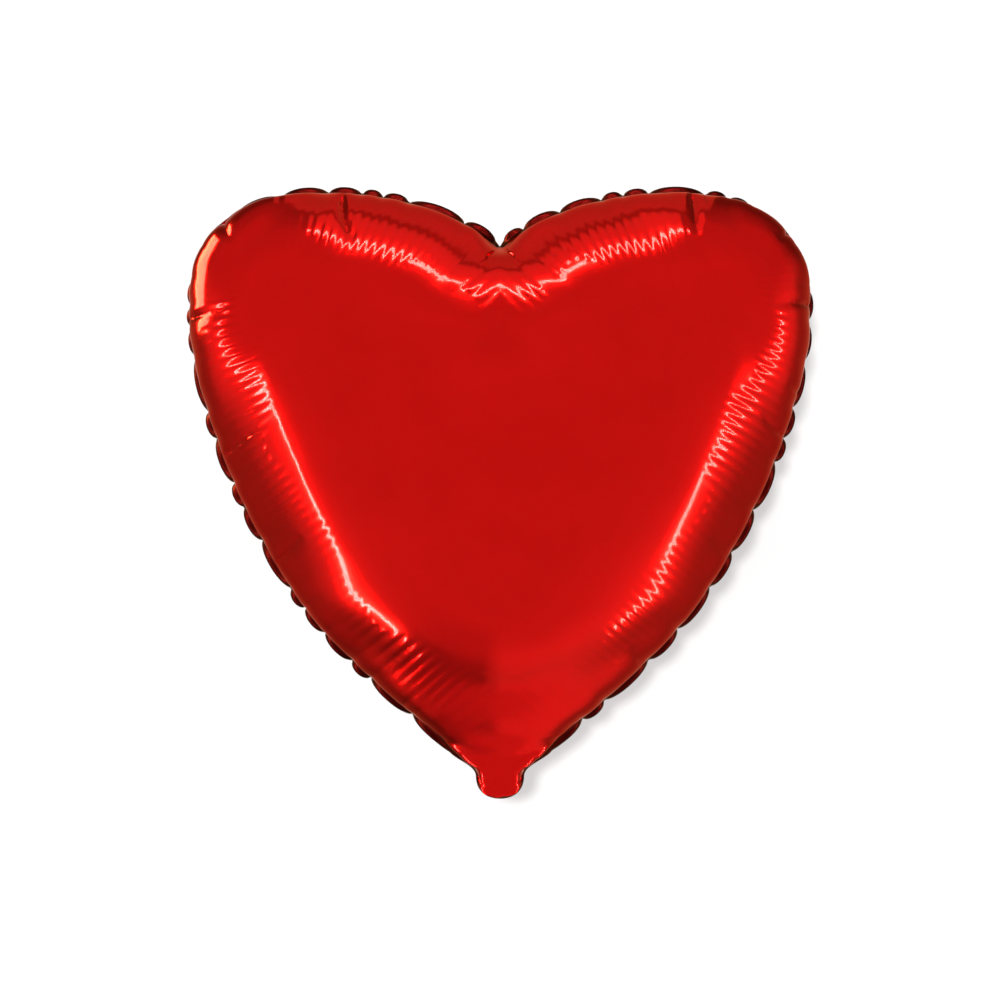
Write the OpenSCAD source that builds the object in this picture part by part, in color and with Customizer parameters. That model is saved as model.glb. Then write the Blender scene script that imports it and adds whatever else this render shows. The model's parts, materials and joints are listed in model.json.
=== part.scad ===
// Heart-shaped foil balloon, inflated. Two foil panels are heat-sealed to each other round
// their edge, and a self-sealing valve of two clear films hangs inside them from the filling neck.
// Frame: +Z up, the front faces -Y, and the origin is the middle of the neck at its tie line.

/* [Heart] */
// Overall width across the lobes, seam included
heart_w = 380; // [340:1:420]
// Height of the lobes above the neck's tie line
heart_h = 355; // [320:1:390]
// Depth of the cleft between the lobes
cleft_depth = 32; // [24:1:40]
// Thickness of the inflated heart, front to back
inflated_depth = 172; // [140:1:190]

/* [Neck] */
// Width of the neck, seam included
neck_w = 29; // [27:0.5:33]
// Length of the neck below its tie line
neck_drop = 16; // [15:0.5:20]
// Thickness of the inflated neck, front to back
neck_depth = 14; // [13:0.5:16]

/* [Seam] */
// Width of the sealed seam round the heart
seam_w = 5; // [4:0.5:7]
// Width of the sealed seam round the neck
neck_seam_w = 2.5; // [2:0.25:3]
// Thickness of each foil panel
foil_t = 0.4; // [0.3:0.05:0.6]

/* [Valve] */
// Width of the two valve films
valve_w = 18; // [15:0.5:18]
// Height of the valve's free end above the tie line
valve_top = 78; // [60:1:90]
// Thickness of each valve film
valve_film_t = 0.2; // [0.15:0.05:0.25]
// Thickness of the release print between the films
print_t = 0.1; // [0.05:0.05:0.15]
// Diameter of the filling hole in the back of the neck
fill_hole_d = 7; // [5:0.5:7]

/* [Hidden] */

foil_red = [0.74, 0.03, 0.03];
clear_film = [0.86, 0.9, 0.92, 0.6];
print_blue = [0.15, 0.3, 0.55];

half_w = heart_w / 2;
half_neck = neck_w / 2;
dome_h = inflated_depth / 2 - foil_t;      // height of the dome's inside above the seam
neck_dome_h = neck_depth / 2 - foil_t;     // the same on the neck
crown_z = 0.52 * heart_h;                  // height at which the heart is thickest
neck_top = 2;                              // the neck widens into the heart above this height
neck_flat_low = -6;                        // the neck's walls are flat from here up to neck_top
spread_z = 0.36 * heart_h;                 // above this the rings close on the crown
fill_hole_z = (neck_top + neck_flat_low) / 2 - 0.5;

// ---- outline of the seam's outer edge, right half, from the cleft down to the neck's end ----
cleft = [0, heart_h - cleft_depth];
lobe_top = [0.55 * half_w, heart_h];
widest = [half_w, 0.79 * heart_h];
flank = [0.622 * half_w, 0.265 * heart_h];
shoulder = [0.182 * half_w, 0.042 * heart_h];
throat = [half_neck, -2];
neck_end = [0, -neck_drop];
curves = [
    [cleft, [0.095 * half_w, heart_h - 0.45 * cleft_depth], [0.32 * half_w, heart_h], lobe_top],
    [lobe_top, [0.81 * half_w, heart_h], [half_w, 0.93 * heart_h], widest],
    [widest, [half_w, 0.628 * heart_h], [0.835 * half_w, 0.41 * heart_h], flank],
    [flank, [0.517 * half_w, 0.19 * heart_h], [0.342 * half_w, 0.113 * heart_h], shoulder],
    [shoulder, [0.12 * half_w, 0.017 * heart_h], [half_neck + 0.5, 3.5], throat],
    [throat, [half_neck, -0.7 * neck_drop], [0.6 * half_neck, -neck_drop], neck_end]
];
curve_steps = [8, 8, 10, 8, 4, 6];         // points along each curve

function bezier(p, t) =
    pow(1 - t, 3) * p[0] + 3 * pow(1 - t, 2) * t * p[1] + 3 * (1 - t) * t * t * p[2] + pow(t, 3) * p[3];

right_half = [
    for (c = [0:len(curves) - 1], i = [0:curve_steps[c] - 1]) bezier(curves[c], i / curve_steps[c])
];
outline = concat(
    right_half,
    [neck_end],
    [for (i = [len(right_half) - 1:-1:1]) [-right_half[i].x, right_half[i].y]]
);
n = len(outline);

// ---- rings of the dome ----
ring_steps = 10;
last_ring_deg = 86;                        // the innermost ring stops just short of the spine
ring_share = [for (k = [0:ring_steps]) cos(last_ring_deg * k / ring_steps)];
body_power = 2.3;                          // the heart's crown is slightly flatter than an ellipse
neck_power = 4;                            // the neck's walls are flat, with round corners

function ease(low, high, z) = let (f = min(1, max(0, (z - low) / (high - low)))) f * f * (3 - 2 * f);
function inward(i) =
    let (d = outline[(i + 1) % n] - outline[(i + n - 1) % n]) [d.y, -d.x] / norm(d);
function seam_at(z) = neck_seam_w + (seam_w - neck_seam_w) * ease(0, 20, z);
function inset(i, w) = outline[i] + inward(i) * w;

// Height on the axis that the rings at outline height z close on
function spine_z(z) =
    z >= spread_z ? crown_z
    : z <= neck_top ? max(z, neck_flat_low)
    : neck_top + (crown_z - neck_top) * pow((z - neck_top) / (spread_z - neck_top), 1.15);

// Half thickness of the inside on the axis at height z
function spine_h(z) =
    z <= neck_top ? neck_dome_h
    : neck_dome_h + (dome_h - neck_dome_h) * pow(sin(90 * (z - neck_top) / (crown_z - neck_top)), 0.9);

// A ring's points: the seam's inner edge, moved in by gap, shrunk to the spine by share and raised
function ring(share, gap, lift) = [
    for (i = [0:n - 1])
        let (
            edge = inset(i, seam_at(outline[i].y) + gap),
            sz = spine_z(outline[i].y),
            power = neck_power + (body_power - neck_power) * ease(0, 60, outline[i].y),
            rise = spine_h(sz) * sqrt(1 - pow(share, power))
        )
        [edge.x * share, -(rise + lift), sz + (edge.y - sz) * share]
];
function seam_edge(lift) = [for (i = [0:n - 1]) [outline[i].x, -lift, outline[i].y]];

// A closed shell from two stacks of rings with the same number of points, joined at their first rings
function stack_faces(rings, first, flip) = [
    for (k = [0:rings - 2], i = [0:n - 1], half = [0, 1])
        let (
            a = first + k * n + i,
            b = first + k * n + (i + 1) % n,
            tri = half == 0 ? [a, b, b + n] : [a, b + n, a + n]
        )
        flip ? [tri[2], tri[1], tri[0]] : tri
];
function cap_faces(start, flip) = [
    for (i = [0:n / 2 - 1], half = [0, 1])
        if (!(half == 1 && i == 0) && !(half == 0 && i == n / 2 - 1))
            let (
                a = start + i,
                b = start + i + 1,
                c = start + (n - i - 1) % n,
                d = start + (n - i) % n,
                tri = half == 0 ? [a, b, c] : [a, c, d]
            )
            flip ? [tri[2], tri[1], tri[0]] : tri
];

module half_shell() {
    rings = ring_steps + 2;
    outer = concat([seam_edge(foil_t)], [for (s = ring_share) ring(s, 0, foil_t)]);
    inner = concat([seam_edge(0)], [for (s = ring_share) ring(s, foil_t, 0)]);
    second = rings * n;
    rim = [
        for (i = [0:n - 1], half = [0, 1])
            let (a = i, b = (i + 1) % n)
                half == 0 ? [b, a, second + a] : [b, second + a, second + b]
    ];
    polyhedron(
        points = [for (stack = [outer, inner], r = stack, p = r) p],
        faces = concat(
            stack_faces(rings, 0, false),
            cap_faces((rings - 1) * n, false),
            stack_faces(rings, second, true),
            cap_faces(second + (rings - 1) * n, true),
            rim
        )
    );
}

// ---- valve ----
valve_bottom = neck_flat_low - 1.5;        // the films' welded end, inside the neck
valve_corner_r = 4;                        // radius at the free end's corners
print_w = 0.66 * valve_w;
print_low = 5;                             // the print spans the place where the seam crossed the valve
print_high = 38;

// A thin film standing in the plane y = back, with round corners at its top
module film_sheet(w, low, high, thick, back) {
    translate([0, back, 0])
        rotate([90, 0, 0])
            linear_extrude(thick)
                union() {
                    translate([-w / 2, low]) square([w, high - low - valve_corner_r]);
                    translate([-w / 2 + valve_corner_r, low]) square([w - 2 * valve_corner_r, high - low]);
                    for (side = [-1, 1])
                        translate([side * (w / 2 - valve_corner_r), high - valve_corner_r])
                            circle(r = valve_corner_r, $fn = 48);
                }
}

module fill_hole(low, high) {
    translate([0, low, fill_hole_z])
        rotate([-90, 0, 0])
            cylinder(d = fill_hole_d, h = high - low, $fn = 64);
}

module front_panel() {
    color(foil_red) half_shell();
}

module back_panel() {
    color(foil_red)
        difference() {
            mirror([0, 1, 0]) half_shell();
            fill_hole(neck_depth / 4, neck_depth);
        }
}

module valve_back_film() {
    color(clear_film)
        difference() {
            film_sheet(valve_w, valve_bottom, valve_top, valve_film_t, valve_film_t);
            fill_hole(-1, 1);
        }
}

module valve_release_print() {
    color(print_blue) film_sheet(print_w, print_low, print_high, print_t, 0);
}

module valve_front_film() {
    color(clear_film) film_sheet(valve_w, valve_bottom, valve_top, valve_film_t, -print_t);
}

front_panel();
back_panel();
valve_front_film();
valve_back_film();
valve_release_print();
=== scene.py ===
import json
import math

import bpy
import numpy as np
from mathutils import Matrix, Vector
from mathutils.bvhtree import BVHTree
from mathutils.geometry import delaunay_2d_cdt


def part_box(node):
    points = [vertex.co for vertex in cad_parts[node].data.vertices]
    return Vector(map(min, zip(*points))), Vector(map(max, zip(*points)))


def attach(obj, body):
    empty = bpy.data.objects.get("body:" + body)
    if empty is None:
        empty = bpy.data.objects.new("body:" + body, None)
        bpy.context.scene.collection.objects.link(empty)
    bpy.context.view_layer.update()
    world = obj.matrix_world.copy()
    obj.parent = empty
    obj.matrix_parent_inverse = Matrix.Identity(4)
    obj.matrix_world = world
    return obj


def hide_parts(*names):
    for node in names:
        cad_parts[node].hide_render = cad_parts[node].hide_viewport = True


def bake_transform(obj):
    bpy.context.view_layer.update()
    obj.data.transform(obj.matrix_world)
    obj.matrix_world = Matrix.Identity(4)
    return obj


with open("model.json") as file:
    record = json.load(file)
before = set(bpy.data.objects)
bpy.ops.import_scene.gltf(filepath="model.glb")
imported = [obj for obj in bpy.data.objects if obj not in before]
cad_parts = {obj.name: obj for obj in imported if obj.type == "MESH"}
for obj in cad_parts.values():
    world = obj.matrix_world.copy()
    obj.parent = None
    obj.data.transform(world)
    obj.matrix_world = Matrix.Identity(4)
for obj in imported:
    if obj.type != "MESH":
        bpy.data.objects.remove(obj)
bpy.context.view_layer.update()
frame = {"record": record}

# ---- sizes, in metres, read from the frame ----
panel_low, panel_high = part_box("front_panel")
HALF_W = panel_high.x
HEIGHT = panel_high.z
NECK_DROP = -panel_low.z
DEPTH = -panel_low.y
MOUNTS = {m["name"]: m for m in frame["record"]["mounts"]}
HOLE_R = MOUNTS["fill_port"]["dims"]["r_mm"] / 1000
HOLE_Z = MOUNTS["fill_port"]["pos_m"][2]

# The two foil panels start as flat cut sheets, welded to each other along the seam, and a small cloth
# solver inflates them. The sealed margin outside the weld and the valve films in the neck are built
# round them.

# ---- the heart's cut ----
CLEFT_DEPTH = 0.032        # from the lobes' top down to the cleft
HALF_NECK = 0.0145
SEAM_W = 0.005             # width of the sealed margin outside the weld
NECK_SEAM_W = 0.0025
NECK_DEPTH = 0.014         # thickness of the inflated neck, front to back
FLAT_SCALE = 1.2           # the flat cut is this much larger than the inflated outline
FOIL_T = 0.0002            # thickness given to the foil, which is really about 0.035 mm

# ---- the seam's scallops and the pleats ----
SCALLOP_PITCH = 0.0240
SCALLOP_SPREAD = 0.5       # how much the pitch varies
SCALLOP_SEED = 11
BACK_SHARE = 0.7           # share of the pinches that weave to the back
SCALLOPS_FROM, SCALLOPS_FULL = 0.004, 0.030  # heights between which the scallops set in above the neck
PINCH_IN = 0.0008          # how far a pinch draws the weld inward
RUFFLE = 0.0012            # how far the weld weaves to the front and back
PUFF = 0.0026              # how far the film puffs out past the weld
PUFF_DIP = 0.22            # share of the puff that a pinch takes away
PUFF_AT = 0.006            # distance from the weld where it puffs out most
FOLD_MID, FOLD_PINCH, FOLD_NECK = 26, 80, 66  # how far the margin folds back, in degrees
FOLD_FROM, FOLD_FULL = 0.002, 0.026  # heights between which the neck's fold becomes the body's
PLEAT_PITCH = 0.0064       # at the seam; the pleats close up further in
PLEAT_HEIGHT = 0.00026
PLEAT_BAND = (0.012, 0.040, 0.053)  # distances from the weld where they start, peak and end
CALM_FROM, CALM_TO = 0.052, 0.080   # the film is taut and mirror-smooth inside this distance

# The valley under the cleft: its depth, half width, start, deepest place, end, and where it turns round
VALLEY_DEPTH, VALLEY_W = 0.0090, 0.026
VALLEY_START, VALLEY_DEEPEST, VALLEY_END = 0.020, 0.068, 0.165
VALLEY_SHARP, VALLEY_ROUND = 0.050, 0.080
VALLEY_SOFT = 0.03         # half width over which its bottom is rounded there

# Creases: share of the way round from the cleft, clockwise as seen from the front, length, depth, lean.
# The one under the cleft has no depth and only sets the mesh's edges along the bottom of the valley.
CREASE_W = 0.0020          # half width of a crease
CREASE_STEP = 0.0005       # spacing of the points from which distances to a crease are taken
CREASE_REACH = 0.05        # distance from a crease's middle past which it has no effect
CLEFT_CREASE = (0.0, VALLEY_END, 0.0, 0.0)
FRONT_CREASES = (
    (0.101, 0.040, 0.0036, 0.05), (0.156, 0.020, 0.0022, 0.10), (0.196, 0.036, 0.0026, -0.05),
    (0.240, 0.020, 0.0010, 0.10), (0.263, 0.032, 0.0014, 0.15), (0.330, 0.026, 0.0010, 0.10),
    (0.400, 0.024, 0.0014, 0.20), (0.471, 0.016, 0.0014, -0.20), (0.570, 0.022, 0.0008, -0.10),
    (0.666, 0.036, 0.0014, -0.15), (0.727, 0.042, 0.0016, -0.10), (0.797, 0.040, 0.0030, -0.05),
    (0.852, 0.026, 0.0024, 0.10), (0.917, 0.042, 0.0042, -0.30),
)
BACK_CREASES = (
    (0.085, 0.038, 0.0038, 0.20), (0.150, 0.028, 0.0024, 0.10), (0.205, 0.036, 0.0028, -0.10),
    (0.262, 0.028, 0.0014, 0.15), (0.345, 0.026, 0.0010, 0.10), (0.425, 0.022, 0.0012, -0.20),
    (0.585, 0.024, 0.0010, 0.20), (0.655, 0.034, 0.0014, -0.10), (0.738, 0.032, 0.0018, -0.15),
    (0.815, 0.040, 0.0032, 0.10), (0.895, 0.038, 0.0038, -0.20),
)


def ease(low, high, x):
    """0 below low, 1 above high, smooth between."""
    f = np.clip((x - low) / (high - low), 0, 1)
    return f * f * (3 - 2 * f)


# ---- outline ----
def outline_curves():
    """Bezier curves of the seam's outer edge, right half, from the cleft down to the neck's end."""
    w, h, n, drop = HALF_W, HEIGHT, HALF_NECK, NECK_DROP
    cleft, lobe_top, widest = (0, h - CLEFT_DEPTH), (0.55 * w, h), (w, 0.79 * h)
    flank, shoulder, throat = (0.622 * w, 0.265 * h), (0.182 * w, 0.042 * h), (n, -0.002)
    neck_end = (0, -drop)
    return (
        (cleft, (0.095 * w, h - 0.45 * CLEFT_DEPTH), (0.32 * w, h), lobe_top),
        (lobe_top, (0.81 * w, h), (w, 0.93 * h), widest),
        (widest, (w, 0.628 * h), (0.835 * w, 0.41 * h), flank),
        (flank, (0.517 * w, 0.19 * h), (0.342 * w, 0.113 * h), shoulder),
        (shoulder, (0.12 * w, 0.017 * h), (n + 0.0005, 0.0035), throat),
        (throat, (n, -0.7 * drop), (0.6 * n, -drop), neck_end),
    )


def bezier(points, t):
    p = np.array(points, float)
    t = t[:, None]
    return (1 - t)**3 * p[0] + 3 * (1 - t)**2 * t * p[1] + 3 * (1 - t) * t**2 * p[2] + t**3 * p[3]


COARSE_STEP = 0.003        # spacing of the weld's points where a coarse line is enough
AREA_STEP = 0.002          # spacing of the outline's points for its length and area


def even_outline(step):
    """Points about step apart round the outline, clockwise from the cleft, and their share of it."""
    t = np.linspace(0, 1, 300, endpoint=False)
    right = np.vstack([bezier(c, t) for c in outline_curves()] + [[(0, -NECK_DROP)]])
    return even_points(np.vstack([right, (right[:-1] * (-1, 1))[::-1]]), step)


def even_points(loop, step):
    """Points about step apart round a closed loop whose last point is its first, and their shares."""
    way = np.r_[0, np.cumsum(np.linalg.norm(np.diff(loop, axis=0), axis=1))]
    count = 2 * round(way[-1] / step / 2)
    at = np.arange(count) / count * way[-1]
    return np.c_[np.interp(at, way, loop[:, 0]), np.interp(at, way, loop[:, 1])], at / way[-1]


def inward(p):
    """Unit normals that point into a clockwise loop of points."""
    d = np.roll(p, -1, 0) - np.roll(p, 1, 0)
    n = np.c_[d[:, 1], -d[:, 0]]
    return n / np.linalg.norm(n, axis=1)[:, None]


def seam_width(z):
    return NECK_SEAM_W + (SEAM_W - NECK_SEAM_W) * ease(0, 0.02, z)


def fold_angles(z):
    """How far the sealed margin folds back between the pinches and at them, in radians."""
    body = ease(FOLD_FROM, FOLD_FULL, z)
    mid = np.radians(FOLD_NECK + (FOLD_MID - FOLD_NECK) * body)
    return mid, mid + np.radians(FOLD_PINCH - FOLD_MID) * body


def weld_line(step):
    """The weld's points in the plane of the seam, their outward normals and shares."""
    edge, share = even_outline(step)
    normal = inward(edge)
    shown = seam_width(edge[:, 1]) * np.cos(fold_angles(edge[:, 1])[0])
    return edge + normal * shown[:, None], -normal, share


def perimeter():
    p = even_outline(AREA_STEP)[0]
    return float(np.linalg.norm(np.roll(p, -1, 0) - p, axis=1).sum())


PERIMETER = perimeter()


def make_scallops():
    """Shares of the pinches round the seam, and which way each one weaves: to the back is positive."""
    rng = np.random.default_rng(SCALLOP_SEED)
    widths = 1 + SCALLOP_SPREAD * rng.uniform(-1, 1, round(PERIMETER / SCALLOP_PITCH))
    pinches = np.r_[0, np.cumsum(widths)] / widths.sum()
    sizes = rng.uniform(0.3, 1.0, len(pinches))
    weaves = sizes * np.where(rng.uniform(size=len(pinches)) < BACK_SHARE, 1, -1)
    weaves[-1] = weaves[0]
    return pinches, weaves


PINCHES, WEAVES = make_scallops()


def seam_shape(share, z):
    """How pinched the seam is at these shares, how far it weaves, and its margin's fold."""
    share = share % 1.0
    k = np.clip(np.searchsorted(PINCHES, share, side="right") - 1, 0, len(PINCHES) - 2)
    u = (share - PINCHES[k]) / (PINCHES[k + 1] - PINCHES[k])
    body = ease(SCALLOPS_FROM, SCALLOPS_FULL, z)
    pinch = (1 - np.sin(np.pi * u)**0.6) * body
    weave = WEAVES[k] + (WEAVES[k + 1] - WEAVES[k]) * ease(0.1, 0.9, u)
    mid, tight = fold_angles(z)
    return pinch, weave * (0.4 * body + 0.6 * pinch), mid + (tight - mid) * pinch


def welded_seam(step):
    """The weld's points in space, with its pinches and weave."""
    weld, out, share = weld_line(step)
    pinch, weave, tilt = seam_shape(share, weld[:, 1])
    flat = weld - out * (PINCH_IN * pinch)[:, None]
    return np.c_[flat[:, 0], RUFFLE * weave, flat[:, 1]]


# ---- flat triangulation ----
def to_loop(points, loop, shares):
    """Distance of each point inside a closed loop (negative outside), and the nearest share of it."""
    a, b = loop, np.roll(loop, -1, 0)
    ab = b - a
    long2 = (ab**2).sum(1)
    next_share = np.r_[shares[1:], 1.0]
    gaps, nearest = np.empty(len(points)), np.empty(len(points))
    for i in range(0, len(points), 2000):
        p = points[i:i + 2000, None, :]
        t = np.clip(((p - a) * ab).sum(2) / long2, 0, 1)
        far2 = ((p - a - t[:, :, None] * ab)**2).sum(2)
        k = far2.argmin(1)
        row = np.arange(len(k))
        gaps[i:i + 2000] = np.sqrt(far2[row, k])
        nearest[i:i + 2000] = shares[k] + t[row, k] * (next_share[k] - shares[k])
    x, z = points[:, :1], points[:, 1:]
    crosses = (a[:, 1] > z) != (b[:, 1] > z)
    left = x < (b[:, 0] - a[:, 0]) * (z - a[:, 1]) / (b[:, 1] - a[:, 1] + 1e-30) + a[:, 0]
    inside = (crosses & left).sum(1) % 2 == 1
    return np.where(inside, gaps, -gaps), nearest


def crease_line(crease, step):
    """Points along a crease in the plane of the seam, and how far in each one is."""
    share, length, _, lean = crease
    weld, out, _ = weld_line(0.001)
    start = round(share * len(weld)) % len(weld)
    inward_way = -out[start]
    sideways = np.array([inward_way[1], -inward_way[0]])
    along = np.arange(step, length, step)
    bow = lean * along**2 / length
    return weld[start] + inward_way * along[:, None] + sideways * bow[:, None], along


def creased(flat, creases):
    """How deep the creases are at each point of the flat cut."""
    total = np.zeros(len(flat))
    for crease in creases:
        line, along = crease_line(crease, CREASE_STEP)
        gap, place = to_path(flat, line)
        part = (along[0] + place * (along[-1] - along[0])) / crease[1]
        # it sets in over the first third of its length, fades towards its end, and widens on the way
        depth = crease[2] * ease(0.0, 0.30, part) * (1 - part**2)
        width = CREASE_W * (0.6 + 0.8 * part)
        total = np.maximum(total, depth * np.exp(-gap / width))
    return total


def to_path(points, line):
    """Distance of each point to an open line of even steps, and the share of it that is nearest.

    Points beyond a crease's reach get a distance of one metre."""
    gap = np.full(len(points), 1.0)
    place = np.zeros(len(points))
    near = np.linalg.norm(points - line.mean(0), axis=1) < CREASE_REACH
    apart = np.linalg.norm(points[near][:, None] - line[None], axis=2)
    gap[near] = apart.min(1)
    place[near] = apart.argmin(1) / (len(line) - 1)
    return gap, place


def hole_rim(radius, count=28):
    """The filling hole's rim on a flat cut."""
    turn = np.linspace(0, 2 * np.pi, count, endpoint=False)
    return np.c_[radius * np.cos(turn), HOLE_Z + radius * np.sin(turn)]


def lattice_points(low, high, step):
    """A lattice of equal triangles over a box given by two corners (x, z)."""
    across, up = np.arange(low[0], high[0], step), np.arange(low[1], high[1], step * math.sqrt(3) / 2)
    return np.vstack([
        np.c_[across + (0.5 * step if k % 2 else 0), np.full(len(across), z)] for k, z in enumerate(up)
    ])


def off_hole(points, radius):
    """The points farther from the filling hole's middle than a radius."""
    return points[np.hypot(points[:, 0], points[:, 1] - HOLE_Z) > radius]


def triangulate(points, starts, hole_r):
    """Triangles between points whose first runs, each from one start to the next, stay edges.

    The first run is the closed rim. With a hole radius, the last run is the hole's closed rim."""
    edges = [(i, (i + 1) % starts[1]) for i in range(starts[1])]
    for low, high in zip(starts[1:-1], starts[2:]):
        edges += [(i, i + 1) for i in range(low, high - 1)]
    if hole_r:
        edges.append((starts[-1] - 1, starts[-2]))
    made = delaunay_2d_cdt([Vector(p) for p in points], edges, [], 1, 1e-8)
    flat, faces = np.array([tuple(p) for p in made[0]]), np.array([list(f) for f in made[2]])
    if hole_r:
        middle = flat[faces].mean(1)
        faces = faces[np.hypot(middle[:, 0], middle[:, 1] - HOLE_Z) > 0.95 * hole_r]
    a, b, c = flat[faces[:, 0]], flat[faces[:, 1]], flat[faces[:, 2]]
    turned = (b[:, 0] - a[:, 0]) * (c[:, 1] - a[:, 1]) < (b[:, 1] - a[:, 1]) * (c[:, 0] - a[:, 0])
    faces[turned] = faces[turned][:, ::-1]
    return flat, faces


def flat_mesh(seam_step, inner_step, band, creases, hole):
    """A triangulated heart: fine rows along the seam, a wider lattice inside."""
    seam, out, share = weld_line(seam_step)
    count = len(seam)
    coarse, _, coarse_share = weld_line(max(seam_step, COARSE_STEP))
    lines = [crease_line(c, 0.8 * seam_step)[0] for c in creases]
    hole_r = HOLE_R / FLAT_SCALE if hole else 0
    fixed = [seam] + lines + ([hole_rim(hole_r)] if hole else [])
    starts = np.cumsum([0] + [len(p) for p in fixed]).tolist()
    rows, gap = [], 0
    while gap < band:
        gap += 0.95 * seam_step
        row = seam - out * gap
        rows.append(row[to_loop(row, coarse, coarse_share)[0] > 0.97 * gap - 0.0002])
        rows.append(cleft_row(seam, out, gap, seam_step))
    lattice = lattice_points((-HALF_W, -NECK_DROP), (HALF_W, HEIGHT), inner_step)
    lattice = lattice[to_loop(lattice, coarse, coarse_share)[0] > gap + 0.5 * inner_step]
    loose = np.vstack(rows + [lattice])
    if hole:
        loose = off_hole(loose, hole_r + 0.5 * seam_step)
    points = thin_out(np.vstack(fixed + [loose]), starts[-1], 0.7 * seam_step)
    flat, faces = triangulate(points, starts, hole_r)
    return flat, faces, count


def cleft_row(seam, out, gap, step):
    """A V of points under the cleft, where the rows of both lobes run straight on to the axis."""
    lean, rise = -out[1]
    t = np.arange(0, -lean * gap / rise, step)
    right = np.c_[lean * gap + rise * t, seam[0, 1] + rise * gap - lean * t]
    return np.vstack([right, right * (-1, 1)])


def thin_out(points, kept, gap):
    """Drops points that share a gap-wide cell with an earlier one; the first kept ones all stay."""
    taken = {}
    chosen = []
    for i, cell in enumerate(map(tuple, np.floor(points / gap).astype(int))):
        near = [
            taken[c] for dx in (-1, 0, 1) for dz in (-1, 0, 1)
            if (c := (cell[0] + dx, cell[1] + dz)) in taken
        ]
        if i < kept or all(((points[i] - points[j])**2).sum() > gap * gap for j in near):
            taken[cell] = i
            chosen.append(i)
    return points[chosen]


# ---- inflation ----
def edges_of(faces):
    pairs = np.sort(np.vstack([faces[:, [0, 1]], faces[:, [1, 2]], faces[:, [2, 0]]]), 1)
    return np.unique(pairs, axis=0)


def gather(index, values, count):
    """Sums the rows of values that have the same index."""
    return np.stack([np.bincount(index, values[:, k], count) for k in range(3)], 1)


def vertex_normals(x, faces):
    """Vertex normals, as long as the area round each vertex."""
    cross = np.cross(x[faces[:, 1]] - x[faces[:, 0]], x[faces[:, 2]] - x[faces[:, 0]])
    return sum(gather(faces[:, k], cross, len(x)) for k in range(3)) / 6


def unit(v):
    return v / np.maximum(np.linalg.norm(v, axis=1), 1e-12)[:, None]


KEPT_SPEED = 0.97          # share of each point's speed that is left after a step
LINK_ROUNDS = 6            # how often the links are set right in a step
LINK_GAIN = 1.4            # above 1, so that the links settle sooner


def relax(x, faces, edges, rest, held, steps, pressure, squeeze, bend):
    """Inflates a sheet whose edges hardly stretch, and resist being shortened only by squeeze."""
    i, j = edges[:, 0], edges[:, 1]
    count = len(x)
    valence = np.bincount(edges.ravel(), minlength=count)[:, None]
    free = np.where(held, 0.0, 1.0)[:, None]
    push = pressure / rest.mean()
    before = x.copy()
    for _ in range(steps):
        speed = KEPT_SPEED * (x - before)
        before = x.copy()
        x = x + (speed + push * vertex_normals(x, faces)) * free
        for _ in range(LINK_ROUNDS):
            d = x[j] - x[i]
            long = np.sqrt((d * d).sum(1))
            over = (long - rest) / long
            over = np.where(over < 0, over * squeeze, over)
            pull = d * over[:, None]
            x = x + LINK_GAIN * free * (gather(i, pull, count) - gather(j, pull, count)) / valence
        x = x - bend * free * laplacian(laplacian(x, i, j, valence), i, j, valence)
    return x


def laplacian(x, i, j, valence):
    d = x[j] - x[i]
    return (gather(i, d, len(x)) - gather(j, d, len(x))) / valence


def carry_over(flat, faces, x, new_flat):
    """Positions on a new triangulation of the same heart."""
    tree = BVHTree.FromPolygons([(a, b, 0) for a, b in flat], faces.tolist())
    found = [tree.find_nearest(Vector((a, b, 0))) for a, b in new_flat]
    at = np.array([(p.x, p.y) for p, _, _, _ in found])
    tri = faces[[k for _, _, k, _ in found]]
    a, b, c = flat[tri[:, 0]], flat[tri[:, 1]], flat[tri[:, 2]]

    def area(p, q, r):
        return (q[:, 0] - p[:, 0]) * (r[:, 1] - p[:, 1]) - (q[:, 1] - p[:, 1]) * (r[:, 0] - p[:, 0])

    whole = area(a, b, c)
    weights = np.stack([area(at, b, c) / whole, area(a, at, c) / whole, area(a, b, at) / whole], 1)
    return (x[tri] * weights[:, :, None]).sum(1)


LEVELS = (  # seam spacing, inner spacing, width of the fine band, steps, bend
    (0.0080, 0.0090, 0.020, 400, 0.10),
    (0.0040, 0.0050, 0.030, 220, 0.10),
    (0.0014, 0.0025, 0.056, 140, 0.12),
)
FINEST_STEP = LEVELS[-1][0]
START_RISE = 0.12          # how steeply the sheet rises from the weld before it is inflated
CALM_ROUNDS = 60           # rounds of smoothing where the film is taut
# The tip: how high it begins and ends, and how far in from the weld, each as the two ends of a fade
TIP_BELOW, TIP_ABOVE, TIP_INSIDE = (0.022, 0.040), (0.036, 0.115), (0.010, 0.030)
PRESSURE = 0.002
SQUEEZE = 0.10             # how much the film resists being shortened
SLACK = 0.004              # spare length along the seam, which wrinkles
GATHER_LAG = 0.015         # how far the film near the seam is drawn outward by the inflation
GATHER_REACH = 0.022       # how the seam's hold on the film fades with the distance from it
GATHER_FADES, GATHER_ENDS = 0.030, 0.100  # distances between which the film gets its flat length back


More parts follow.
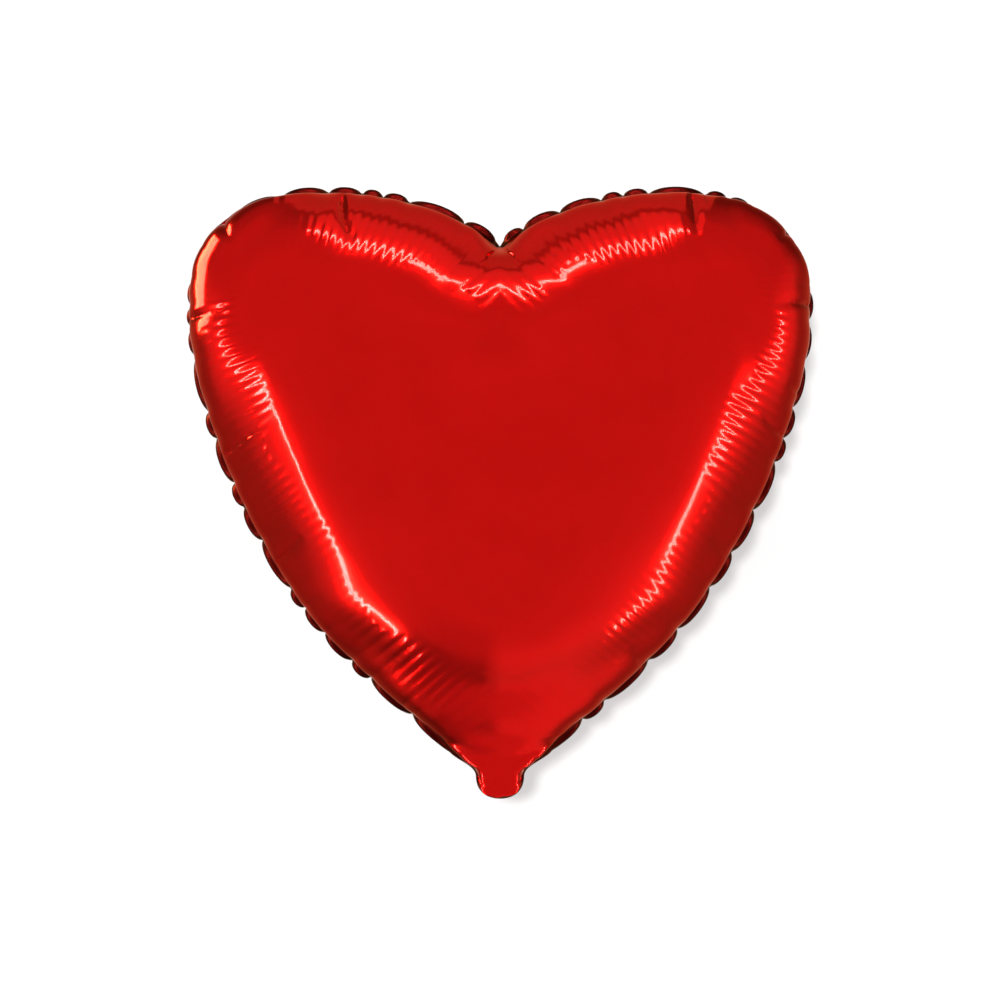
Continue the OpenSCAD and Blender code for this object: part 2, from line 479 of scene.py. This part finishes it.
def seam_places(flat):
    """Each point's distance in from the weld, and the share of the seam that it faces."""
    loop, out, share = weld_line(COARSE_STEP)
    gap, near = to_loop(flat, loop, share)
    # under the cleft the edges of both lobes are taken to run straight on
    side = np.where(flat[:, 0] < 0, -1, 1)
    out_x, out_z = np.tile(out[1], (len(flat), 1)).T
    from_cleft = flat - loop[0]
    run = (from_cleft * np.c_[side * out_z, -out_x]).sum(1)
    deep = -(from_cleft * np.c_[side * out_x, out_z]).sum(1)
    under = (np.minimum(near, 1 - near) < 1e-4) & (run < 0) & (gap > 0)
    near = np.where(under, np.where(side > 0, 0, 1) + side * run / PERIMETER, near)
    return np.maximum(np.where(under, deep, gap), 0), near


def gathering(flat, gap, near):
    """How much longer the film is along the seam than on the flat cut, at each point.

    The seam gathers the film fully where it is straight. Where the seam curves, the film further in
    keeps more of its length, and far from the seam it keeps all of it."""
    loop, out, share = weld_line(COARSE_STEP)
    theta = np.arctan2(out[:, 1], out[:, 0])
    turned = np.roll(theta, 1) - np.roll(theta, -1)
    turned = (turned + np.pi) % (2 * np.pi) - np.pi
    curve = turned / (2 * COARSE_STEP)
    # a running mean over nine points
    curve = sum(np.roll(curve, k) for k in range(-4, 5)) / 9
    curve = np.clip(np.interp(near % 1.0, share, curve), 0, None)
    lag = GATHER_LAG * (1 - np.exp(-gap / GATHER_REACH))
    stretch = 1 + curve / (1 - np.minimum(curve * gap, 0.85)) * lag
    stretch = np.maximum(stretch, 1 + (FLAT_SCALE - 1) * ease(GATHER_FADES, GATHER_ENDS, gap))
    stretch = np.minimum(stretch, FLAT_SCALE)
    neck = 1 - ease(0.004, 0.014, flat[:, 1])
    return stretch + (FLAT_SCALE - stretch) * neck


def rest_lengths(flat, gap, edges, stretch):
    """The film's own length between points: full across the seam, gathered by the weld along it."""
    i, j = edges[:, 0], edges[:, 1]
    long = np.linalg.norm(flat[i] - flat[j], axis=1)
    across = np.clip(np.abs(gap[i] - gap[j]) / long, 0, 1)
    along = (stretch[i] + stretch[j]) / 2 + SLACK
    return long * np.sqrt((FLAT_SCALE * across)**2 + along**2 * (1 - across**2))


def neck_front(flat):
    """Height of the neck's front wall over the seam, zero on the heart itself."""
    inside = np.clip(1 - (flat[:, 0] / (HALF_NECK - NECK_SEAM_W))**2, 0, 1)
    inside = inside * np.clip(1 - (np.minimum(flat[:, 1], 0) / NECK_DROP)**4, 0, 1)
    return NECK_DEPTH / 2 * np.sqrt(inside) * (1 - ease(0.004, 0.020, flat[:, 1]))


def inflate(creases, hole, side, seed):
    """A panel inflated towards the front: its vertices, faces and number of points on the weld.

    Only the last level has the creases' lines and the filling hole. The back panel, with side -1, has
    its weld's weave turned round here, and the whole of it is turned to the back later."""
    flat = faces = x = None
    for level, (seam_step, inner_step, band, steps, bend) in enumerate(LEVELS):
        old = (flat, faces, x)
        last = level == len(LEVELS) - 1
        flat, faces, count = flat_mesh(seam_step, inner_step, band, creases if last else (), hole and last)
        gap, near = seam_places(flat)
        x = carry_over(*old, flat) if level else np.c_[flat[:, 0], -START_RISE * np.sqrt(gap), flat[:, 1]]
        x[:, 1] = np.minimum(x[:, 1], -neck_front(flat))
        x[:count] = welded_seam(seam_step) * (1, side, 1)
        held = np.arange(len(flat)) < count
        edges = edges_of(faces)
        rest = rest_lengths(flat, gap, edges, gathering(flat, gap, near))
        carried = x
        x = relax(x, faces, edges, rest, held, steps, PRESSURE, SQUEEZE, bend)
    i, j = edges[:, 0], edges[:, 1]
    valence = np.bincount(edges.ravel(), minlength=len(x))[:, None]
    # near the tip the last level swells unevenly, so it keeps the shape of the level before
    tip = ease(*TIP_BELOW, flat[:, 1]) * (1 - ease(*TIP_ABOVE, flat[:, 1])) * ease(*TIP_INSIDE, gap)
    x = x + tip[:, None] * (carried - x)
    calm = np.maximum(ease(CALM_FROM, CALM_TO, gap), tip)[:, None]
    for _ in range(CALM_ROUNDS):
        x = x + 0.5 * calm * laplacian(x, i, j, valence)
    x[:, 1] += valley(flat)
    x[:, 1] *= (DEPTH - FOIL_T) / -x[:, 1].min()
    x[:, 1] = np.minimum(x[:, 1], -neck_front(flat))
    raised = pleats(gap, near, flat, seed) - creased(flat, creases)
    x = x + unit(vertex_normals(x, faces)) * raised[:, None]
    x[:, [0, 2]] += puff(flat, gap, near)
    x[:count] = welded_seam(seam_step) * (1, side, 1)
    return x, faces, count


def valley(flat):
    """How deep the valley under the cleft is at each point of the flat cut."""
    below = HEIGHT - CLEFT_DEPTH - SEAM_W - flat[:, 1]
    depth = VALLEY_DEPTH * ease(VALLEY_START, VALLEY_DEEPEST, below)
    depth = depth * (1 - ease(VALLEY_DEEPEST, VALLEY_END, below))
    turn = VALLEY_SOFT * ease(VALLEY_SHARP, VALLEY_ROUND, below)
    return depth * np.exp((turn - np.hypot(flat[:, 0], turn)) / VALLEY_W)


def puff(flat, gap, near):
    """The film's bulge past the weld between the pinches, in the plane of the seam."""
    loop, out, share = weld_line(COARSE_STEP)
    way = near % 1.0
    outward = np.c_[np.interp(way, share, out[:, 0]), np.interp(way, share, out[:, 1])]
    pinch = seam_shape(way, flat[:, 1])[0]
    size = PUFF * (1 - PUFF_DIP * pinch) * gap / PUFF_AT * np.exp(1 - gap / PUFF_AT)
    # it is weaker near the neck and goes to nothing at the cleft
    size = size * (0.30 + 0.70 * ease(0.010, 0.045, flat[:, 1]))
    from_cleft = np.linalg.norm(flat - (0, HEIGHT - CLEFT_DEPTH), axis=1)
    return outward * (size * ease(0.004, 0.020, from_cleft))[:, None]


def pleats(gap, near, flat, seed):
    """Height of the fine pleats, with round ridges and sharp valleys, that face the seam.

    Slow waves along the seam, shifted by the seed, make their spacing, reach and strength uneven."""
    way = near * PERIMETER
    phase = 2 * np.pi * way / PLEAT_PITCH
    phase = phase + 1.3 * np.sin(way / 0.0113 + seed) + 1.7 * np.sin(way / 0.0277 + 2 * seed)
    start, peak, end = PLEAT_BAND
    reach = 1 + 0.16 * np.sin(way / 0.019 + 3 * seed) + 0.08 * np.sin(way / 0.0071 + seed)
    band = ease(start, peak, gap) * (1 - ease(peak, end * reach, gap))
    strength = 0.85 + 0.45 * np.sin(way / 0.047 + seed) + 0.3 * np.sin(way / 0.021 + 5 * seed)
    strength = np.clip(strength, 0.15, 1.5) * ease(0.02, 0.06, flat[:, 1])
    strength = strength * (1 - 0.6 * np.exp(-(flat[:, 0] / 0.016)**2))
    return PLEAT_HEIGHT * band * strength * (2 * np.abs(np.cos(phase / 2)) - 1)


# ---- pieces ----
def new_piece(name, points, faces, materials):
    mesh = bpy.data.meshes.new(name)
    mesh.from_pydata(points.tolist(), [], [tuple(map(int, f)) for f in faces])
    mesh.update()
    mesh.shade_smooth()
    piece = bpy.data.objects.new(name, mesh)
    bpy.context.scene.collection.objects.link(piece)
    for material in materials:
        mesh.materials.append(material)
    return piece


def apply_modifiers(piece):
    graph = bpy.context.evaluated_depsgraph_get()
    made = bpy.data.meshes.new_from_object(piece.evaluated_get(graph))
    piece.modifiers.clear()
    piece.data = made


def thicken(piece, thickness):
    """Gives a sheet its thickness, on the side that its normals point to."""
    solid = piece.modifiers.new("thickness", "SOLIDIFY")
    solid.thickness = thickness
    solid.offset = 1.0
    solid.use_rim = True
    apply_modifiers(piece)


FLANGE_ROWS = 3            # rows of faces across the sealed margin


def flange(seam_step):
    """Rows of points from the weld out to the seam's free edge, as both panels share them."""
    weld, out, share = weld_line(seam_step)
    start = welded_seam(seam_step)
    width = seam_width(weld[:, 1])
    fold = seam_shape(share, weld[:, 1])[2]
    rows = []
    for k in range(1, FLANGE_ROWS + 1):
        part = k / FLANGE_ROWS
        # the fold tightens towards the free edge
        angle = fold * (0.7 + 0.45 * part)
        step = np.c_[out[:, 0] * np.cos(angle), np.sin(angle), out[:, 1] * np.cos(angle)]
        last = rows[-1] if rows else start
        rows.append(last + step * (width / FLANGE_ROWS)[:, None])
    return rows


def foil_panel(name, creases, hole, side, seed):
    """One foil panel with its half of the seam. Side is 1 for the front panel and -1 for the back."""
    x, faces, count = inflate(creases, hole, side, seed)
    x = x * (1, side, 1)
    x[:count] = welded_seam(FINEST_STEP)
    rows = flange(FINEST_STEP)
    points = np.vstack([x] + rows)
    i = np.arange(count)
    j = (i + 1) % count
    starts = [0] + [len(x) + k * count for k in range(FLANGE_ROWS)]
    strips = [np.c_[b + i, b + j, a + j, a + i] for a, b in zip(starts, starts[1:])]
    every = [tuple(f) for f in faces] + [tuple(f) for strip in strips for f in strip]
    if side < 0:
        every = [f[::-1] for f in every]
    piece = new_piece(name, points, every, (foil_red, margin_painted_shade))
    # the margin's faces take the second material, whose near-black colour is painted shade
    for face in piece.data.polygons:
        face.material_index = 0 if face.index < len(faces) else 1
    thicken(piece, FOIL_T)
    return piece


# ---- valve ----
FILM_CORNER = 0.004        # radius at the films' free corners
FILM_STEP = 0.0012         # spacing of the films' points
FILM_WAVE, FILM_CURL = 0.0007, 0.0012  # how far the films wave, and how far their sides curl back
FILM_GAP = 0.00003         # left between the print and the front film, so that they slide


def film_hang(x, z, half):
    """How far the films' shared wave and curl take them to the back, at a place on them."""
    free = ease(0.004, 0.050, z)
    return free * (FILM_WAVE * np.sin(z / 0.0105 + 90 * x) + FILM_CURL * (x / half)**2)


def film_piece(name, node, back, towards, thickness, hole, material):
    """A thin strip with round corners at its top; it starts at y = back and thickens towards one side."""
    low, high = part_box(node)
    half, r = high.x, FILM_CORNER
    turn = np.linspace(0, np.pi / 2, 9)
    corner = np.c_[half - r * (1 - np.sin(turn)), high.z - r * (1 - np.cos(turn))]
    loop = np.vstack([corner, [(half, low.z), (-half, low.z)], (corner * (-1, 1))[::-1], corner[:1]])
    rim, share = even_points(loop, FILM_STEP)
    inner = lattice_points((low.x, low.z), (high.x, high.z), FILM_STEP)
    inner = inner[to_loop(inner, rim, share)[0] > 0.6 * FILM_STEP]
    fixed = [rim] + ([hole_rim(HOLE_R)] if hole else [])
    if hole:
        inner = off_hole(inner, HOLE_R + 0.5 * FILM_STEP)
    starts = np.cumsum([0] + [len(p) for p in fixed]).tolist()
    flat, faces = triangulate(np.vstack(fixed + [inner]), starts, HOLE_R if hole else 0)
    y = back + film_hang(flat[:, 0], flat[:, 1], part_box("valve_back_film")[1].x)
    faces = faces if towards < 0 else faces[:, ::-1]
    piece = new_piece(name, np.c_[flat[:, 0], y, flat[:, 1]], faces, (material,))
    thicken(piece, thickness)
    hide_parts(node)
    return piece


# ---- materials ----
def new_material(name):
    material = bpy.data.materials.new(name)
    material.use_nodes = True
    return material, material.node_tree.nodes, material.node_tree.links


def noise(nodes, links, scale, detail):
    """Fine noise that is fixed to the piece."""
    place = nodes.new("ShaderNodeTexCoord")
    texture = nodes.new("ShaderNodeTexNoise")
    texture.inputs["Scale"].default_value = scale
    texture.inputs["Detail"].default_value = detail
    links.new(place.outputs["Object"], texture.inputs["Vector"])
    return texture.outputs["Fac"]


def mapped(nodes, links, value, first, last, to_first, to_last):
    """A value taken from the range first to last into another range."""
    node = nodes.new("ShaderNodeMapRange")
    node.inputs["From Min"].default_value = first
    node.inputs["From Max"].default_value = last
    node.inputs["To Min"].default_value = to_first
    node.inputs["To Max"].default_value = to_last
    links.new(value, node.inputs["Value"])
    return node.outputs["Result"]


def colour_ramp(nodes, links, value, stops):
    """A colour that follows a value through stops in rising order, each a place and a colour."""
    ramp = nodes.new("ShaderNodeValToRGB")
    elements = ramp.color_ramp.elements
    for element, (at, colour) in zip(elements, (stops[0], stops[-1])):
        element.position = at
        element.color = (*colour, 1)
    for at, colour in stops[1:-1]:
        elements.new(at).color = (*colour, 1)
    links.new(value, ramp.inputs["Fac"])
    return ramp.outputs["Color"]


def tone(nodes, links, value, colour, darkest, first, last):
    """The colour at a value of last and above, darker down to first."""
    dark = tuple(darkest * c for c in colour)
    return colour_ramp(nodes, links, value, ((first, dark), (last, colour)))


def bumped(nodes, links, height, strength, distance):
    bump = nodes.new("ShaderNodeBump")
    bump.inputs["Strength"].default_value = strength
    bump.inputs["Distance"].default_value = distance
    links.new(height, bump.inputs["Height"])
    return bump.outputs["Normal"]


def foil_material(name, colour, roughness, coat=0.0):
    """Metallised film: a mirror with a faint grain and slightly cloudy lacquer."""
    material, nodes, links = new_material(name)
    shader = nodes["Principled BSDF"]
    shader.inputs["Metallic"].default_value = 1.0
    shader.inputs["Coat Weight"].default_value = coat
    shader.inputs["Coat Roughness"].default_value = 0.025
    shader.inputs["Specular Tint"].default_value = (1.0, 0.72, 0.55, 1)
    grain = noise(nodes, links, 900.0, 3.0)
    cloud = noise(nodes, links, 26.0, 4.0)
    rough = mapped(nodes, links, grain, 0, 1, 0.8 * roughness, 1.25 * roughness)
    links.new(tone(nodes, links, cloud, colour, 0.93, 0.3, 0.7), shader.inputs["Base Color"])
    links.new(rough, shader.inputs["Roughness"])
    links.new(bumped(nodes, links, grain, 0.03, 0.0002), shader.inputs["Normal"])
    return material


def film_material(name, colour, roughness, alpha, darkest, scale):
    """Thin plastic film or a print on it, with fine specks and an uneven roughness."""
    material, nodes, links = new_material(name)
    shader = nodes["Principled BSDF"]
    shader.inputs["Alpha"].default_value = alpha
    grain = noise(nodes, links, scale, 4.0)
    rough = mapped(nodes, links, grain, 0, 1, 0.7 * roughness, 1.3 * roughness)
    links.new(tone(nodes, links, grain, colour, darkest, 0.42, 0.58), shader.inputs["Base Color"])
    links.new(rough, shader.inputs["Roughness"])
    links.new(bumped(nodes, links, grain, 0.08, 0.0001), shader.inputs["Normal"])
    return material


foil_red = foil_material("red_foil", (0.70, 0.0030, 0.0018), 0.11, 0.10)
# The sealed margin is the same red foil as the panels; its near-black colour is painted shade, standing for
# the shade and dark surroundings it faces behind the body's edge.
margin_painted_shade = foil_material("sealed_margin_painted_shade", (0.045, 0.0012, 0.0010), 0.34)

front_foil = foil_panel("front_foil", (CLEFT_CREASE,) + FRONT_CREASES, False, 1, 1)
back_foil = foil_panel("back_foil", (CLEFT_CREASE,) + BACK_CREASES, True, -1, 2)
for panel, node in ((front_foil, "front_panel"), (back_foil, "back_panel")):
    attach(panel, "envelope")
    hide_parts(node)

clear_film = film_material("clear_valve_film", (0.86, 0.90, 0.92), 0.14, 0.55, 0.96, 500.0)
print_coat = film_material("release_print", (0.05, 0.13, 0.32), 0.65, 1.0, 0.75, 1400.0)
print_low, print_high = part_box("valve_release_print")
film_low, film_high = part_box("valve_back_film")
PRINT_T = print_high.y - print_low.y
FILM_T = film_high.y - film_low.y
back_film = film_piece("back_valve_film", "valve_back_film", 0, 1, FILM_T, True, clear_film)
coat = film_piece("release_coat", "valve_release_print", 0, -1, PRINT_T - FILM_GAP, False, print_coat)
front_film = film_piece("front_valve_film", "valve_front_film", -PRINT_T, -1, FILM_T, False, clear_film)
for film, node, slot in (
        (back_film, "valve_back_film", "clear_valve_film"), (coat, "valve_release_print", "release_print"),
        (front_film, "valve_front_film", "clear_valve_film")):
    film_low, film_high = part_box(node)
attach(back_film, "valve_sleeve")
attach(coat, "valve_sleeve")
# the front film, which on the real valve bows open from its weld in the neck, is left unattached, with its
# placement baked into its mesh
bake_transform(front_film)


# ---- studio ----
MIDDLE = Vector((0, 0, 0.165))  # what the camera and the lights are aimed at
VIEW_W = 0.606             # width of the view at the seam
CAMERA_FAR = 2.8
LIGHTS_FAR = 1.7


def add_camera():
    data = bpy.data.cameras.new("camera")
    camera = bpy.data.objects.new("camera", data)
    bpy.context.scene.collection.objects.link(camera)
    camera.location = MIDDLE + Vector((0, -CAMERA_FAR, 0))
    camera.rotation_euler = (math.radians(90), 0, 0)
    data.lens = data.sensor_width * CAMERA_FAR / VIEW_W
    bpy.context.scene.camera = camera


def way_to(turn, angle):
    """A direction from the balloon: turn is clockwise from straight up as seen from the camera, and
    angle is from straight towards the camera, both in degrees."""
    t, a = math.radians(turn), math.radians(angle)
    return Vector((math.sin(t) * math.sin(a), -math.cos(a), math.cos(t) * math.sin(a)))


def softbox(name, first, last, far, width, power, colour=(1, 1, 1)):
    """A strip light that spans two ways from the balloon's middle, far times as long, and faces it."""
    first, last = far * first, far * last
    data = bpy.data.lights.new(name, "AREA")
    data.shape = "RECTANGLE"
    data.size, data.size_y = (last - first).length, width
    data.energy = power
    data.color = colour
    light = bpy.data.objects.new(name, data)
    bpy.context.scene.collection.objects.link(light)
    away = ((first + last) / 2).normalized()
    along = (last - first).normalized()
    turned = Matrix((along, away.cross(along), away)).transposed()
    light.matrix_world = Matrix.Translation(MIDDLE + (first + last) / 2) @ turned.to_4x4()


def add_lights():
    softbox("left_strip", way_to(-87, 72), way_to(-139, 90), LIGHTS_FAR, 0.05, 18)
    softbox("right_strip", way_to(84, 74), way_to(136, 92), LIGHTS_FAR, 0.05, 13)
    softbox("left_panel", way_to(-87, 99), way_to(-46, 104), LIGHTS_FAR, 0.50, 60, (1.0, 0.80, 0.66))
    # three lamps close above the cleft, which light only the lobes' inner slopes
    for name, half, back, up, width, power in (
            ("top_strip", 0.14, -0.096, 0.37, 0.013, 0.65), ("top_panel", 0.14, -0.045, 0.37, 0.085, 0.037),
            ("top_back_panel", 0.16, 0.120, 0.36, 0.220, 0.09)):
        softbox(name, Vector((-half, back, up)), Vector((half, back, up)), 1, width, power)
    sun = bpy.data.lights.new("backdrop_light", "SUN")
    sun.energy = 6.0
    sun.angle = math.radians(4)
    light = bpy.data.objects.new("backdrop_light", sun)
    light.rotation_euler = Vector((-0.075, -1, 0.075)).to_track_quat("Z", "Y").to_euler()
    light.visible_glossy = False
    bpy.context.scene.collection.objects.link(light)


# Brightness of the surroundings by the angle from straight in front of the balloon, in degrees
WORLD_LEVELS = (
    (0, 0.76), (48, 0.78), (66, 0.84), (78, 1.02), (90, 1.00), (98, 0.74), (104, 0.46), (112, 0.36),
    (124, 0.46), (148, 0.54), (164, 0.74), (180, 0.80),
)
# Shade by the direction in the plane of the balloon: 0 is straight down, 90 left, 180 up, 270 right
SHADE_LEVELS = (
    (0, 0.84), (7, 0.42), (28, 0.42), (54, 0.90), (90, 1.0), (112, 0.50), (180, 0.50), (240, 0.50),
    (262, 1.0), (330, 1.0), (360, 0.90),
)
# How far back a direction points where the shade begins, is full, begins to end, and has ended
SHADE_FADES = (-0.58, -0.05, 0.70, 0.94)


def multiplied(nodes, links, first, second):
    node = nodes.new("ShaderNodeMath")
    node.operation = "MULTIPLY"
    links.new(first, node.inputs[0])
    links.new(second, node.inputs[1])
    return node.outputs[0]


def surroundings(nodes, links):
    """What the balloon mirrors: bands of brightness round it, shaded above and at the lower left."""
    place = nodes.new("ShaderNodeTexCoord")
    split = nodes.new("ShaderNodeSeparateXYZ")
    links.new(place.outputs["Generated"], split.inputs["Vector"])
    back = split.outputs["Y"]
    front_share = mapped(nodes, links, back, 1, -1, 0, 1)
    bands = colour_ramp(nodes, links, front_share, tuple(
        ((1 + math.cos(math.radians(angle))) / 2, (level,) * 3) for angle, level in WORLD_LEVELS[::-1]))
    across = nodes.new("ShaderNodeMath")
    across.operation = "ARCTAN2"
    links.new(split.outputs["X"], across.inputs[0])
    links.new(split.outputs["Z"], across.inputs[1])
    turn = mapped(nodes, links, across.outputs[0], -math.pi, math.pi, 0, 1)
    shade = colour_ramp(nodes, links, turn, tuple((at / 360, (level,) * 3) for at, level in SHADE_LEVELS))
    begins, full, ending, ended = SHADE_FADES
    strength = multiplied(
        nodes, links, mapped(nodes, links, back, begins, full, 0, 1),
        mapped(nodes, links, back, ending, ended, 1, 0))
    blend = nodes.new("ShaderNodeMix")
    blend.data_type = "RGBA"
    blend.inputs["A"].default_value = (1, 1, 1, 1)
    links.new(strength, blend.inputs["Factor"])
    links.new(shade, blend.inputs["B"])
    dim = nodes.new("ShaderNodeMix")
    dim.data_type = "RGBA"
    dim.blend_type = "MULTIPLY"
    dim.inputs["Factor"].default_value = 1.0
    links.new(bands, dim.inputs["A"])
    links.new(blend.outputs["Result"], dim.inputs["B"])
    return dim.outputs["Result"]


def add_world():
    """Shaded surroundings for the balloon to mirror, and plain white where the camera sees past it."""
    world = bpy.data.worlds.new("studio")
    bpy.context.scene.world = world
    world.use_nodes = True
    nodes, links = world.node_tree.nodes, world.node_tree.links
    mirrored = nodes["Background"]
    links.new(surroundings(nodes, links), mirrored.inputs["Color"])
    white = nodes.new("ShaderNodeBackground")
    white.inputs["Color"].default_value = (1, 1, 1, 1)
    path = nodes.new("ShaderNodeLightPath")
    mix = nodes.new("ShaderNodeMixShader")
    links.new(path.outputs["Is Camera Ray"], mix.inputs["Fac"])
    links.new(mirrored.outputs["Background"], mix.inputs[1])
    links.new(white.outputs["Background"], mix.inputs[2])
    links.new(mix.outputs["Shader"], nodes["World Output"].inputs["Surface"])


def paper_material(name, glow):
    """Pale studio paper, seen only from its front and lifted to white by a little glow."""
    material, nodes, links = new_material(name)
    shader = nodes["Principled BSDF"]
    shader.inputs["Base Color"].default_value = (0.2, 0.2, 0.2, 1)
    shader.inputs["Roughness"].default_value = 0.9
    shader.inputs["Specular IOR Level"].default_value = 0.0
    shader.inputs["Emission Color"].default_value = (1, 1, 1, 1)
    shader.inputs["Emission Strength"].default_value = glow
    clear = nodes.new("ShaderNodeBsdfTransparent")
    side = nodes.new("ShaderNodeNewGeometry")
    mix = nodes.new("ShaderNodeMixShader")
    links.new(side.outputs["Backfacing"], mix.inputs["Fac"])
    links.new(shader.outputs["BSDF"], mix.inputs[1])
    links.new(clear.outputs["BSDF"], mix.inputs[2])
    links.new(mix.outputs["Shader"], nodes["Material Output"].inputs["Surface"])
    return material


def add_backdrop():
    """A white wall just behind the balloon, which takes its shadow, and a floor well below it."""
    wide, back, low, top = 2.0, 0.13, -0.60, 2.0
    wall = np.array([(-wide, back, low), (wide, back, low), (wide, back, top), (-wide, back, top)])
    floor = np.array([(-wide, -wide, low), (wide, -wide, low), (wide, wide, low), (-wide, wide, low)])
    for name, corners, glow in (("backdrop", wall, 0.44), ("floor", floor, 0.80)):
        sheet = new_piece(name, corners, [(0, 1, 2, 3)], (paper_material(name + "_paper", glow),))
        sheet.visible_glossy = False
        sheet.visible_shadow = False


add_camera()
add_lights()
add_world()
add_backdrop()
bpy.context.scene.view_settings.view_transform = "Standard"
